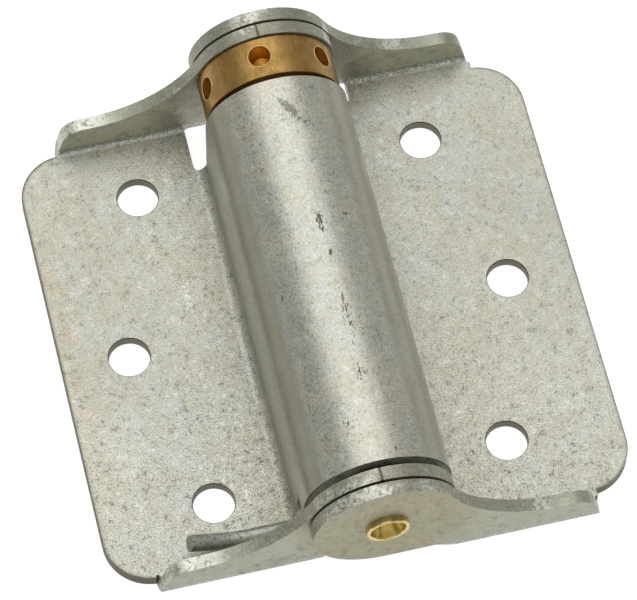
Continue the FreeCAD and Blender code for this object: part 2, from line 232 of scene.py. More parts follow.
zincBarrelLeaf = {
    "name": "zincBarrelLeaf", "outside": (53.6, 53.7), "leafHalf": 50.4,
    "outlineShade": 0.55, "outlineDepth": 0.6,
    "ochre": (0.54, 0.44, 0.30), "ochreAcross": (-46.5, -54.0), "ochreAlong": (50.0, 22.0),
    "ochreNoise": (0.5, 4.0, 0.7), "ochreSpan": (0.42, 0.62), "ochreDepth": 0.55,
    # angles where each flank's painted shade starts and is full, where it ends and is still full, and its
    # depth
    "flanks": (((131.0, 145.0), (169.0, 158.0), 0.8), ((57.0, 46.0), (20.0, 32.0), 0.6)),
    # angle round the barrel, place along it, half width, half length, strength
    "stains": (
        (86.5, 19.5, 0.8, 1.2, 0.45), (86.0, 5.6, 1.5, 4.2, 1.0), (85.0, -2.0, 0.9, 2.0, 0.9),
        (85.5, -17.0, 1.6, 9.0, 0.62), (87.0, -29.5, 1.8, 4.0, 0.6), (74.0, 12.0, 1.4, 0.8, 0.6),
        (132.0, -9.0, 0.7, 1.6, 0.7), (106.0, -39.5, 2.6, 2.4, 0.6), (75.0, -47.6, 1.5, 0.8, 0.8),
    ),
    "stainColor": (0.085, 0.068, 0.040), "stainCover": 0.35, "stainDepth": 0.9,
    "smudges": (
        (92.0, 34.9, 1.1, 1.0, 1.0), (89.5, 33.9, 1.5, 1.3, 1.0), (86.5, 32.6, 1.7, 1.8, 1.1),
        (83.5, 31.2, 1.5, 1.9, 1.1), (81.0, 30.0, 1.2, 1.2, 1.0), (77.0, 29.0, 1.8, 0.7, 0.9),
        (64.5, 6.6, 1.2, 0.8, 0.9),
    ),
    "smudgeColor": (0.15, 0.155, 0.13), "smudgeCover": 0.4, "smudgeDepth": 0.8,
    # place across and along the leaf, half width, half length, strength
    "rubs": (
        (-26.0, 11.0, 1.4, 8.0, 0.8), (-24.0, 40.0, 2.6, 5.0, 0.7), (-24.2, -36.0, 1.2, 7.0, 0.8),
        (-36.5, -1.0, 2.2, 3.0, 0.7),
    ),
    "rubCover": 0.32, "rubDepth": 0.6,
    "dashes": (2.4, 2.0, 0.6), "dashStretch": (1.0, 0.4, 1.0), "ragged": (1.9, 4.0, 0.7), "raggedMiddle": 0.5,
    # place along the pin and across it of the shear mark on each inner ear's rim
    "seams": ((-52.3, -0.55), (52.3, -1.35)),
    "seamReach": (1.7, 1.5), "seamHalf": (0.5, 0.1), "seamHeight": (13.5, 14.5),
    "seamWander": 1.2, "seamDepth": 0.9,
    # place across, which end, and how far off the bright place on an ear's rim starts and is full; it is
    # partly wear and partly painted highlight
    "wornAndGlintRims": ((-39.0, 1.0, (7.8, 1.8)), (-37.0, -1.0, (6.5, 1.5))),
    # the painted reflection on the barrel's lower end face: place along, reach from the pin, and the span of
    # its patches
    "endLightPlace": (-49.3, -49.4), "endLightReach": (15.0, 14.8), "endLightCluster": (0.36, 0.46),
}
zincSwingLeaf = {
    "name": "zincSwingLeaf", "outside": (57.0, 57.1), "leafHalf": 51.6,
    "outlineShade": 0.35, "outlineDepth": 0.35,
}
patch = {"fade": (1.25, 0.0), "specks": (0.70, 0.79), "edge": (1.3, 1.0)}


def patches(tree, sheet, ragged, spots, cover):
    # worn or stained places, broken into specks that thin out from the middle
    worn = 0.0
    for across, along, halfWidth, halfLength, strength in spots:
        moved = {0: sheet, 1: (across, along, 0.0)}
        shifted = addNode(tree, "ShaderNodeVectorMath", moved, operation="SUBTRACT").outputs[0]
        halves = {0: shifted, 1: (halfWidth, halfLength, 1.0)}
        scaled = addNode(tree, "ShaderNodeVectorMath", halves, operation="DIVIDE").outputs[0]
        reach = addNode(tree, "ShaderNodeVectorMath", {0: scaled}, operation="LENGTH").outputs["Value"]
        near = product(tree, rise(tree, reach, patch["fade"]), strength)
        speck = rise(tree, plus(tree, ragged, product(tree, near, cover)), patch["specks"])
        worn = larger(tree, worn, product(tree, speck, rise(tree, reach, patch["edge"])))
    return worn


def onArc(spots):
    return [(math.radians(turn) * zinc["barrelRadius"], *rest) for turn, *rest in spots]


def sheetPlaces(tree, place, settings):
    # where a point lies, and how far it is on each part of the folded sheet
    axes = axesOf(tree, place)
    spot = SimpleNamespace(across=axes["X"], along=axes["Y"], height=axes["Z"])
    spot.reach = unsigned(tree, spot.across)
    spot.side = unsigned(tree, spot.along)
    spot.up = minus(tree, spot.height, zinc["pinHeight"])
    spot.fromPin = lengthOf(tree, spot.across, spot.up)
    onBarrel = rise(tree, spot.fromPin, zinc["barrelSkin"])
    spot.rolled = product(tree, onBarrel, rise(tree, spot.side, zinc["barrelEnds"]))
    spot.unrolled = restOf(tree, spot.rolled)
    spot.raised = rise(tree, spot.height, zinc["raised"])
    spot.level = restOf(tree, spot.raised)
    spot.outside = rise(tree, spot.side, settings["outside"])
    spot.onEar = product(tree, spot.raised, rise(tree, spot.side, zinc["earPlace"]))
    bent = bothRise(tree, spot.height, zinc["bendFoot"], spot.height, zinc["bendTop"])
    spot.bent = product(tree, bent, rise(tree, spot.side, zinc["bendPlace"]))
    return spot


def zincNoises(tree, place, spot):
    # the grain is coarser beside the barrel and towards the lower ears, finer on what is bent up
    noise = SimpleNamespace()
    noise.mottle = rise(tree, noiseOf(tree, place, *zinc["mottle"]), zinc["mottleSpan"])
    noise.blotch = rise(tree, noiseOf(tree, place, *zinc["blotch"]), zinc["blotchSpan"])
    noise.grain = noiseOf(tree, place, *zinc["grain"])
    noise.cluster = noiseOf(tree, place, *zinc["cluster"])
    fleck = product(tree, noiseOf(tree, place, *zinc["fleck"]), zinc["fleckShare"])
    noise.fleck = plus(tree, fleck, product(tree, noise.cluster, zinc["clusterShare"]))
    byBarrel = product(tree, rise(tree, spot.reach, zinc["coarseReach"]), zinc["coarseByBarrel"])
    low = product(tree, rise(tree, spot.along, zinc["coarseAlong"]), spot.unrolled, zinc["coarseLow"])
    left = product(tree, rise(tree, spot.across, zinc["coarseAcross"]), zinc["coarseLeft"])
    coarse = zinc["coarse"]
    for gain in (byBarrel, low, left):
        coarse = plus(tree, coarse, gain)
    finer = minus(tree, zinc["finer"], product(tree, spot.rolled, zinc["finerRolled"]))
    finer = plus(tree, finer, product(tree, spot.outside, zinc["finerOutside"]))
    noise.coarse = product(tree, coarse, restOf(tree, product(tree, spot.raised, finer)))
    return noise


def flatTones(tree, spot, noise):
    body = tinted(tree, product(tree, noise.mottle, zinc["mottleDepth"]), zinc["cool"], zinc["warm"])
    body = coated(tree, body, zinc["warm"], noise.blotch, zinc["blotchDepth"])
    outer = bothRise(tree, spot.reach, zinc["bloomReach"], spot.along, zinc["bloomAlong"])
    body = coated(tree, body, zinc["pale"], outer, zinc["bloomDepth"])
    beside = bothRise(tree, spot.reach, zinc["besideReach"], spot.along, zinc["besideAlong"])
    return coated(tree, body, zinc["warm"], beside, spot.unrolled, zinc["besideDepth"])


def earTones(tree, settings, body, place, spot, noise):
    # satin inside, with painted shade behind the barrel's end and by the fold; handled outside and tanned
    # round the pin; grey bends; rims with bright places that are partly wear and partly painted highlight
    # painted shade on the ears' inner faces, behind the barrel's end and in the corner by the fold
    notch = bothRise(tree, spot.reach, zinc["hiddenReach"], spot.height, zinc["hiddenHeight"])
    notch = product(tree, notch, zinc["hiddenDepth"])
    innerShade = larger(tree, notch, rise(tree, spot.fromPin, zinc["hiddenRound"]))
    within = tinted(tree, innerShade, zinc["inner"], zinc["innerShade"])
    handled = tinted(tree, rise(tree, spot.fromPin, zinc["tanRound"]), zinc["olive"], zinc["tan"])
    satin = tinted(tree, spot.outside, within, handled)
    body = coated(tree, body, satin, spot.onEar, zinc["satinDepth"])
    cloud = rise(tree, noise.cluster, zinc["earCloud"])
    body = coated(tree, body, zinc["dark"], spot.onEar, cloud, zinc["earCloudDepth"])
    body = coated(tree, body, zinc["bend"], spot.bent, zinc["bendDepth"])

    rimEdge = ownValue(tree, "rimEdge")
    body = coated(tree, body, zinc["rim"], rimEdge, zinc["rimDepth"])
    # pale flecks on the rims: partly wear, partly painted highlight where the rims face the overhead light
    wearAndGlint = rise(tree, noiseOf(tree, place, *zinc["wearAndGlint"]), zinc["wearAndGlintSpan"])
    worn = product(tree, wearAndGlint, rise(tree, noise.fleck, zinc["wearAndGlintFleck"]))
    body = coated(tree, body, zinc["pale"], rimEdge, worn, zinc["wearAndGlintDepth"])
    for middle, end, fade in settings.get("wornAndGlintRims", ()):
        near = rise(tree, unsigned(tree, minus(tree, spot.across, middle)), fade)
        near = product(tree, near, rise(tree, product(tree, spot.along, end), zinc["wornAndGlintEnd"]))
        worn = product(tree, near, rise(tree, noise.fleck, zinc["wornAndGlintFleck"]))
        body = coated(tree, body, zinc["pale"], rimEdge, worn, zinc["wearAndGlintDepth"])
    return body


def rusted(tree, settings, body, place, spot):
    # an ochre bloom along the leaf's outer edge
    outer = bothRise(tree, spot.across, settings["ochreAcross"], spot.side, settings["ochreAlong"])
    cloud = rise(tree, noiseOf(tree, place, *settings["ochreNoise"]), settings["ochreSpan"])
    return coated(tree, body, settings["ochre"], outer, cloud, settings["ochreDepth"])


def crystalTones(tree, body, place, spot, noise):
    for pattern, span, depth, color in zinc["crystals"]:
        crystal = rise(tree, getattr(noise, pattern), span)
        body = coated(tree, body, zinc[color], crystal, noise.coarse, depth)
    body = coated(tree, body, zinc["pale"], spot.bent, rise(tree, noise.grain, zinc["bendCrystals"]))
    cells = {"Vector": place, "Scale": zinc["pitPerMm"]}
    pits = addNode(tree, "ShaderNodeTexVoronoi", cells).outputs["Distance"]
    return coated(tree, body, zinc["dark"], rise(tree, pits, zinc["pitSpan"]), zinc["pitDepth"])


def barrelMarksAndPaintedLight(tree, settings, body, place, spot, noise):
    # painted shade on the barrel's flanks, a smudge near the collar, specks along the crest and rubbed places
    # by the fold
    angle = product(tree, mathOf(tree, "ARCTAN2", spot.up, spot.across), math.degrees(1))
    for start, end, depth in settings["flanks"]:
        flank = bothRise(tree, angle, start, angle, end)
        body = coated(tree, body, zinc["shade"], flank, spot.rolled, depth)
    arc = product(tree, angle, math.radians(1) * zinc["barrelRadius"])
    barrelSheet = pointOf(tree, arc, spot.along, 0.0)
    leafSheet = pointOf(tree, spot.across, spot.along, 0.0)
    dashes = noiseOf(tree, stretched(tree, place, settings["dashStretch"]), *settings["dashes"])
    ragged = noiseOf(tree, place, *settings["ragged"])
    smudged = patches(tree, barrelSheet, ragged, onArc(settings["smudges"]), settings["smudgeCover"])
    body = coated(tree, body, settings["smudgeColor"], smudged, spot.rolled, settings["smudgeDepth"])
    stained = patches(tree, barrelSheet, dashes, onArc(settings["stains"]), settings["stainCover"])
    body = coated(tree, body, settings["stainColor"], stained, spot.rolled, settings["stainDepth"])
    rubbed = patches(tree, leafSheet, ragged, settings["rubs"], settings["rubCover"])
    body = coated(tree, body, zinc["pale"], rubbed, spot.level, settings["rubDepth"])

    # shear marks on the ears' rims, then a painted reflection that lightens the barrel's lower end face in
    # patches
    marks = 0.0
    wander = product(tree, minus(tree, ragged, settings["raggedMiddle"]), settings["seamWander"])
    top = rise(tree, spot.up, settings["seamHeight"])
    for along, across in settings["seams"]:
        near = rise(tree, unsigned(tree, minus(tree, spot.along, along)), settings["seamReach"])
        off = unsigned(tree, plus(tree, minus(tree, spot.across, across), wander))
        marks = larger(tree, marks, product(tree, near, rise(tree, off, settings["seamHalf"]), top))
    body = coated(tree, body, zinc["seam"], marks, settings["seamDepth"])
    endLight = product(tree, rise(tree, spot.along, settings["endLightPlace"]), spot.rolled)
    endLight = product(tree, endLight, rise(tree, spot.fromPin, settings["endLightReach"]))
    return coated(tree, body, zinc["pale"], endLight, rise(tree, noise.cluster, settings["endLightCluster"]))


def outlined(tree, settings, body, spot):
    # painted shade: the leaf darkens towards its outer edge and its rounded corners, ending in a painted dark
    # outline
    past = larger(tree, minus(tree, spot.reach, zinc["leafReach"] - zinc["leafCorner"]), 0.0)
    over = larger(tree, minus(tree, spot.side, settings["leafHalf"] - zinc["leafCorner"]), 0.0)
    bound = lengthOf(tree, past, over)
    outer = product(tree, rise(tree, past, zinc["outlinePast"]), spot.level)
    shaded = rise(tree, bound, zinc["shadeBand"])
    body = coated(tree, body, zinc["cut"], shaded, outer, settings["outlineShade"])
    outline = rise(tree, bound, zinc["outlineBand"])
    return coated(tree, body, zinc["edgeShade"], outline, outer, settings["outlineDepth"])


def zincFinish(settings):
    material, tree, place = newMetal(settings["name"])
    spot = sheetPlaces(tree, place, settings)
    noise = zincNoises(tree, place, spot)
    body = earTones(tree, settings, flatTones(tree, spot, noise), place, spot, noise)
    if "ochre" in settings:
        body = rusted(tree, settings, body, place, spot)
    body = crystalTones(tree, body, place, spot, noise)
    if "stains" in settings:
        body = barrelMarksAndPaintedLight(tree, settings, body, place, spot, noise)
    body = outlined(tree, settings, body, spot)
    # the cut edges and hole walls take the sheared steel's own darker colour, deepened with painted shade
    body = coated(tree, body, zinc["cut"], ownValue(tree, "cutEdge"), zinc["cutDepth"])
    # a painted line of shade along the rounded upper edges of the flats
    body = coated(tree, body, zinc["edgeShade"], ownValue(tree, "edgeShadeLine"), zinc["edgeShadeDepth"])

    uneven = product(tree, noise.mottle, zinc["unevenMottle"])
    uneven = plus(tree, uneven, product(tree, noise.grain, zinc["unevenGrain"]))
    smoother = product(tree, spot.rolled, zinc["rolledSmoother"])
    spread = {
        "Value": uneven, "From Min": zinc["unevenFrom"], "From Max": zinc["unevenTo"],
        "To Min": minus(tree, zinc["smooth"], smoother), "To Max": minus(tree, zinc["dull"], smoother),
    }
    wave = product(tree, noiseOf(tree, place, *zinc["wave"]), spot.rolled)
    rolling = {"Height": wave, "Strength": zinc["waveBump"], "Distance": zinc["waveDepth"] * mm}
    height = product(tree, noise.grain, noise.coarse)
    height = plus(tree, height, product(tree, noise.mottle, zinc["reliefMottle"]))
    relief = reliefOf(zinc, height)
    relief["Normal"] = addNode(tree, "ShaderNodeBump", rolling).outputs["Normal"]
    return finished(material, zinc, body, spread, relief)


brass = {
    "body": (0.335, 0.205, 0.062), "bright": (0.41, 0.262, 0.086), "brown": (0.215, 0.120, 0.034),
    "burnished": (0.90, 0.70, 0.34), "bore": (0.70, 0.41, 0.085),
    "streak": (1.6, 4.0, 0.6), "streakStretch": (1.0, 0.12, 1.0), "streakSpan": (0.3, 0.7),
    "cloud": (0.3, 4.0, 0.55), "cloudSpan": (0.35, 0.7), "cloudDepth": 0.55,
    "speck": (1.7, 2.0, 0.65), "speckSpan": (0.44, 0.30), "speckDepth": 0.6,
    "toolLine": (9.0, 2.0, 0.55), "toolStretch": (0.03, 1.0, 0.03),
    "metallic": 1.0, "smooth": 0.36, "dull": 0.5, "bump": 0.25, "bumpDepth": 0.02,
    "pinHeight": 20.4, "boreReach": (14.35, 14.1), "holePlace": 46.55, "holeReach": (2.5, 2.35),
}


def boreOf(tree, place):
    # 1 inside the tommy holes, whose walls are painted brighter: the bright metal the drill left, with painted
    # light
    axes = axesOf(tree, place)
    fromPin = lengthOf(tree, axes["X"], minus(tree, axes["Z"], brass["pinHeight"]))
    off = unsigned(tree, minus(tree, axes["Y"], brass["holePlace"]))
    return bothRise(tree, fromPin, brass["boreReach"], off, brass["holeReach"])


def brassFinish(name, shine=0.0):
    # turned, then handled: faint streaks along the pin, tool lines around it, brown clouds
    material, tree, place = newMetal(name)
    streak = noiseOf(tree, stretched(tree, place, brass["streakStretch"]), *brass["streak"])
    cloud = rise(tree, noiseOf(tree, place, *brass["cloud"]), brass["cloudSpan"])
    speck = rise(tree, noiseOf(tree, place, *brass["speck"]), brass["speckSpan"])
    lines = noiseOf(tree, stretched(tree, place, brass["toolStretch"]), *brass["toolLine"])
    body = tinted(tree, rise(tree, streak, brass["streakSpan"]), brass["body"], brass["bright"])
    body = coated(tree, body, brass["brown"], cloud, brass["cloudDepth"] * (1 - shine))
    body = coated(tree, body, brass["brown"], speck, brass["speckDepth"])
    if shine:
        body = tinted(tree, shine, body, brass["burnished"])
    else:
        # the bore walls: the drill's bright metal and painted light
        body = tinted(tree, boreOf(tree, place), body, brass["bore"])
    return finished(material, brass, body, spreadOf(brass, cloud), reliefOf(brass, lines))


gold = {
    "body": (0.57, 0.43, 0.138), "pale": (0.68, 0.60, 0.34),
    "cloud": (0.7, 4.0, 0.55), "cloudSpan": (0.35, 0.7), "hammered": (1.4, 2.0, 0.55),
    "metallic": 1.0, "smooth": 0.14, "dull": 0.3, "bump": 0.3, "bumpDepth": 0.12,
}


def goldFinish(name):
    material, tree, place = newMetal(name)
    cloud = rise(tree, noiseOf(tree, place, *gold["cloud"]), gold["cloudSpan"])
    body = tinted(tree, cloud, gold["body"], gold["pale"])
    hammered = noiseOf(tree, place, *gold["hammered"])
    return finished(material, gold, body, spreadOf(gold, cloud), reliefOf(gold, hammered))


steel = {
    "dark": (0.37, 0.385, 0.345), "grey": (0.56, 0.57, 0.52), "fleck": (0.12, 0.125, 0.11),
    "runScale": 60.0, "turnScale": 14.0, "drawn": (1.5, 3.0, 0.55), "drawnSpan": (0.34, 0.66),
    "cloud": (0.35, 4.0, 0.55), "cloudSpan": (0.36, 0.66),
    "speck": (1.8, 3.0, 0.65), "speckSpan": (0.49, 0.34), "speckDepth": 0.8,
    "metallic": 1.0, "smooth": 0.44, "dull": 0.62, "bump": 0.15, "bumpDepth": 0.02,
}


def steelFinish(name):
    # drawn wire: the scratches follow the wire by its own run and turn
    material, tree, place = newMetal(name)
    run = product(tree, ownValue(tree, "wireRun"), steel["runScale"])
    turn = product(tree, ownValue(tree, "wireTurn"), steel["turnScale"])
    drawn = rise(tree, noiseOf(tree, pointOf(tree, run, turn, 0.0), *steel["drawn"]), steel["drawnSpan"])
    cloud = rise(tree, noiseOf(tree, place, *steel["cloud"]), steel["cloudSpan"])
    speck = rise(tree, noiseOf(tree, place, *steel["speck"]), steel["speckSpan"])
    body = tinted(tree, product(tree, drawn, cloud), steel["dark"], steel["grey"])
    body = coated(tree, body, steel["fleck"], speck, steel["speckDepth"])
    return finished(material, steel, body, spreadOf(steel, drawn), reliefOf(steel, drawn))


print("finishes ready")


# pieces

def linked(name, data):
    piece = bpy.data.objects.new(name, data)
    bpy.context.scene.collection.objects.link(piece)
    return piece


def settled(piece):
    # the modifiers' result becomes the piece's own mesh
    depsgraph = bpy.context.evaluated_depsgraph_get()
    mesh = bpy.data.meshes.new_from_object(piece.evaluated_get(depsgraph))
    mesh.name = piece.name
    piece.modifiers.clear()
    piece.data = mesh
    return piece


def isSharp(edge, settings):
    return edge.is_manifold and edge.calc_face_angle() > settings["edgeAngle"]


def roundedHoles(welded, settings):
    # the punch leaves a rounded edge round each screw hole
    for centre in settings.get("holes", ()):
        middle = Vector(centre) * mm
        rim = []
        for edge in welded.edges:
            reach = max((corner.co.xy - middle).length for corner in edge.verts)
            if reach < settings["holeReach"] and isSharp(edge, settings):
                rim.append(edge)
        bmesh.ops.bevel(
            welded, geom=rim, affect="EDGES", offset=settings["holeEdge"], segments=settings["holeSteps"],
            profile=settings["holeProfile"], clamp_overlap=False,
        )


def softenedCopy(settings):
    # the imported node's own form, welded; a bevel at its sharp edges keeps the flat faces flat in the shading
    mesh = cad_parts[settings["node"]].data.copy()
    mesh.materials.clear()
    welded = bmesh.new()
    welded.from_mesh(mesh)
    bmesh.ops.remove_doubles(welded, verts=welded.verts, dist=settings["weld"])
    bmesh.ops.dissolve_limit(welded, angle_limit=settings["flat"], verts=welded.verts, edges=welded.edges)
    roundedHoles(welded, settings)
    weight = welded.edges.layers.float.new("bevel_weight_edge")
    for edge in welded.edges:
        if isSharp(edge, settings):
            low = max(corner.co.z for corner in edge.verts) < settings["lowTop"]
            outer = min(abs(corner.co.y) for corner in edge.verts) > settings["outerFace"]
            edge[weight] = 1.0 if outer and not low else settings["innerWeight"]
    welded.to_mesh(mesh)
    welded.free()
    if "custom_normal" in mesh.attributes:
        mesh.attributes.remove(mesh.attributes["custom_normal"])
    mesh.shade_smooth()
    piece = linked(settings["name"], mesh)
    bevel = piece.modifiers.new("softEdges", "BEVEL")
    bevel.width = settings["edge"]
    bevel.segments = settings["edgeSteps"]
    bevel.limit_method = "WEIGHT"
    bevel.miter_outer = "MITER_ARC"
    shading = piece.modifiers.new("flatFaces", "WEIGHTED_NORMAL")
    shading.weight = settings["flatWeight"]
    shading.keep_sharp = True
    return settled(piece)


def markedSheet(piece, settings):
    # tells the flats' cut edges, their rounded upper edges that get a painted line of shade, and the ears'
    # rims from the sheet's faces
    for name in ("cutEdge", "rimEdge", "edgeShadeLine"):
        piece.data.attributes.new(name, "FLOAT", "FACE")
    marks = piece.data.attributes
    least, most = settings["edgeShadeTilt"]
    for face in piece.data.polygons:
        corners = [piece.data.vertices[corner].co for corner in face.vertices]
        low = max(corner.z for corner in corners) < settings["lowTop"]
        onEar = min(abs(corner.y) for corner in corners) > settings["earPlace"]
        tilt = (settings["cutTilt"] - abs(face.normal.z)) / settings["cutFade"]
        rim = onEar and not low and abs(face.normal.y) < settings["rimTilt"]
        marks["cutEdge"].data[face.index].value = min(1.0, max(0.0, tilt)) if low else 0.0
        marks["rimEdge"].data[face.index].value = float(rim)
        marks["edgeShadeLine"].data[face.index].value = float(low and least < face.normal.z < most)
    return piece


def dressed(piece, settings, material):
    piece.data.materials.clear()
    piece.data.materials.append(material)
    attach(piece, settings["body"])
    if "node" in settings:
        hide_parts(settings["node"])
    print("piece", piece.name, len(piece.data.polygons), "faces")


allEdges = {"weld": 0.002 * mm, "flat": math.radians(0.3), "flatWeight": 100}
# Blender narrows a bevel to the tightest place on the piece, so "edge" is an upper limit
sheetEdges = {
    "edge": 0.62 * mm, "edgeSteps": 4, "edgeAngle": math.radians(35), "innerWeight": 0.65,
    "lowTop": 2.9 * mm, "earPlace": 50.6 * mm, "cutTilt": 0.985, "cutFade": 0.4, "rimTilt": 0.8,
    "edgeShadeTilt": (0.2, 0.9), "holeEdge": 0.25 * mm, "holeSteps": 3, "holeReach": 4.6 * mm, "holeProfile": 0.5,
    **allEdges,
}
turnedEdges = {
    "edge": 0.07 * mm, "edgeSteps": 2, "edgeAngle": math.radians(40), "innerWeight": 1.0,
    "lowTop": 0.0, "outerFace": 0.0, **allEdges,
}

barrelLeaf = {
    "node": "barrel_leaf", "name": "barrelLeaf", "body": "barrel_leaf_body", "slot": "galvanised_sheet",
    "outerFace": 53.7 * mm, "holes": ((-31.2, 36.65), (-41.0, 0.0), (-31.2, -36.65)), **sheetEdges,
}
swingLeaf = {
    "node": "swing_leaf", "name": "swingLeaf", "body": "swing_leaf_body", "slot": "galvanised_sheet",
    "outerFace": 57.1 * mm, "holes": ((31.2, 36.65), (41.0, 0.0), (31.2, -36.65)), **sheetEdges,
}
for leaf, finish in ((barrelLeaf, zincBarrelLeaf), (swingLeaf, zincSwingLeaf)):
    piece = markedSheet(softenedCopy(leaf), leaf)
    dressed(piece, leaf, zincFinish(finish))

collar = {
    "node": "adjusting_collar", "name": "adjustingCollar", "body": "collar_body", "slot": "turned_brass",
    **turnedEdges,
}
dressed(softenedCopy(collar), collar, brassFinish("turnedBrass"))

pin = {
    "node": "pivot_pin", "name": "pivotPin", "body": "swing_leaf_body", "slot": "yellow_plated_pin",
    **turnedEdges,
}
dressed(softenedCopy(pin), pin, goldFinish("yellowPlate"))


# geometry node pieces

def newTree(name, sizes):
    # a tree with one named input for each size, and those inputs' sockets by name
    tree = bpy.data.node_groups.new(name, "GeometryNodeTree")
    kinds = {float: "NodeSocketFloat", int: "NodeSocketInt"}
    for label, value in sizes.items():
        tree.interface.new_socket(label, in_out="INPUT", socket_type=kinds[type(value)])
    tree.interface.new_socket("Geometry", in_out="OUTPUT", socket_type="NodeSocketGeometry")
    return tree, addNode(tree, "NodeGroupInput").outputs


def grown(name, tree, sizes):
    # sets the tree's inputs, then keeps what it makes as a plain mesh
    piece = linked(name, bpy.data.meshes.new(name))
    maker = piece.modifiers.new(tree.name, "NODES")
    maker.node_group = tree
    for item in tree.interface.items_tree:
        if item.in_out == "INPUT":
            maker[item.identifier] = sizes[item.name]
    return settled(piece)


def ended(tree, geometry, material):
    whole = addNode(tree, "GeometryNodeRealizeInstances", {"Geometry": geometry}).outputs[0]
    coat = addNode(tree, "GeometryNodeSetMaterial", {"Geometry": whole, "Material": material}).outputs[0]
    addNode(tree, "NodeGroupOutput", {"Geometry": coat})


def stored(tree, geometry, name, value):
    kind = "GeometryNodeStoreNamedAttribute"
    feeds = {"Geometry": geometry, "Name": name, "Value": value}
    return addNode(tree, kind, feeds, data_type="FLOAT", domain="POINT").outputs[0]


def rowOf(tree, count):
    return addNode(tree, "GeometryNodeMeshLine", {"Count": count}).outputs[0]


def numberOf(tree):
    return addNode(tree, "GeometryNodeInputIndex").outputs[0]


def placed(tree, geometry, socket, value):
    return addNode(tree, "GeometryNodeSetPosition", {"Geometry": geometry, socket: value}).outputs[0]


def turnedBy(tree, geometry, **moves):
    return addNode(tree, "GeometryNodeTransform", {"Geometry": geometry, **moves}).outputs[0]


def circleOf(tree, sides, radius):
    feeds = {"Resolution": sides, "Radius": radius}
    return addNode(tree, "GeometryNodeCurvePrimitiveCircle", feeds).outputs[0]


spring = {
    "node": "torsion_spring", "name": "torsionSpring", "body": "barrel_leaf_body", "slot": "spring_wire",
    "bendSteps": 12, "joinGap": 0.05 * mm, "sharpAngle": math.radians(50),
    # each stretch counts its points from here, which keeps them in the wire's order
    "legOrder": 0.0, "coilOrder": 1000.0, "hookOrder": 100000.0,
    "sizes": {
        "Wire Radius": 1.75 * mm, "Coil Radius": 9.5 * mm, "Pitch": 5.0 * mm, "Turns": 16.0,
        "Start Angle": math.radians(290), "Coil Foot": -45.288 * mm, "Pin Height": 20.4 * mm,
        "Leg Reach": 38.5 * mm, "Leg Knee": 28.5 * mm, "Leg Corner": 15.497 * mm, "Leg Place": -46.6 * mm,
        "Leg Height": 4.65 * mm, "Leg Lift": 3.3 * mm, "Knee Bend": 18.0 * mm, "Leg Bend": 6.0 * mm,
        "Hook Run": 3.177 * mm, "Hook Top": 43.1 * mm, "Hook Bend": 3.4 * mm,
        "Steps": 48, "Sides": 24,
    },
}


def chosen(tree, kind, values):
    # the value that goes with each point of a row, in turn
    switch = addNode(tree, "GeometryNodeIndexSwitch", data_type=kind)
    for _ in values[len(switch.index_switch_items):]:
        switch.index_switch_items.new()
    for number, value in enumerate((numberOf(tree), *values)):
        tree.links.new(value, switch.inputs[number])
    return switch.outputs[0]


def cornered(tree, places, bends, order):
    # a run through some places with its corners rounded
    row = placed(tree, rowOf(tree, len(places)), "Position", chosen(tree, "VECTOR", places))
    course = addNode(tree, "GeometryNodeMeshToCurve", {"Mesh": row}).outputs[0]
    bend = chosen(tree, "FLOAT", (bends[0], *bends, bends[-1]))
    fillet = {"Curve": course, "Count": spring["bendSteps"], "Radius": bend, "Limit Radius": True}
    return ordered(tree, addNode(tree, "GeometryNodeFilletCurve", fillet, mode="POLY").outputs[0], order)


def ordered(tree, course, order):
    # the course as points that keep their place in the wire
    points = addNode(tree, "GeometryNodeCurveToPoints", {"Curve": course}, mode="EVALUATED").outputs[0]
    return stored(tree, points, "courseOrder", plus(tree, numberOf(tree), order))


def wireCoil(tree, size):
    # the coil climbs from its foot, then is laid along the pin
    radius, foot = size["Coil Radius"], size["Coil Foot"]
    spiral = {
        "Resolution": size["Steps"], "Rotations": size["Turns"], "Start Radius": radius, "End Radius": radius,
        "Height": product(tree, size["Pitch"], size["Turns"]),
    }
    coil = addNode(tree, "GeometryNodeCurveSpiral", spiral).outputs[0]
    coil = turnedBy(tree, coil, Rotation=pointOf(tree, 0.0, 0.0, negated(tree, size["Start Angle"])))
    lying = Euler((math.radians(-90), 0, 0))
    coil = turnedBy(tree, coil, Translation=pointOf(tree, 0.0, foot, size["Pin Height"]), Rotation=lying)
    return ordered(tree, coil, spring["coilOrder"])


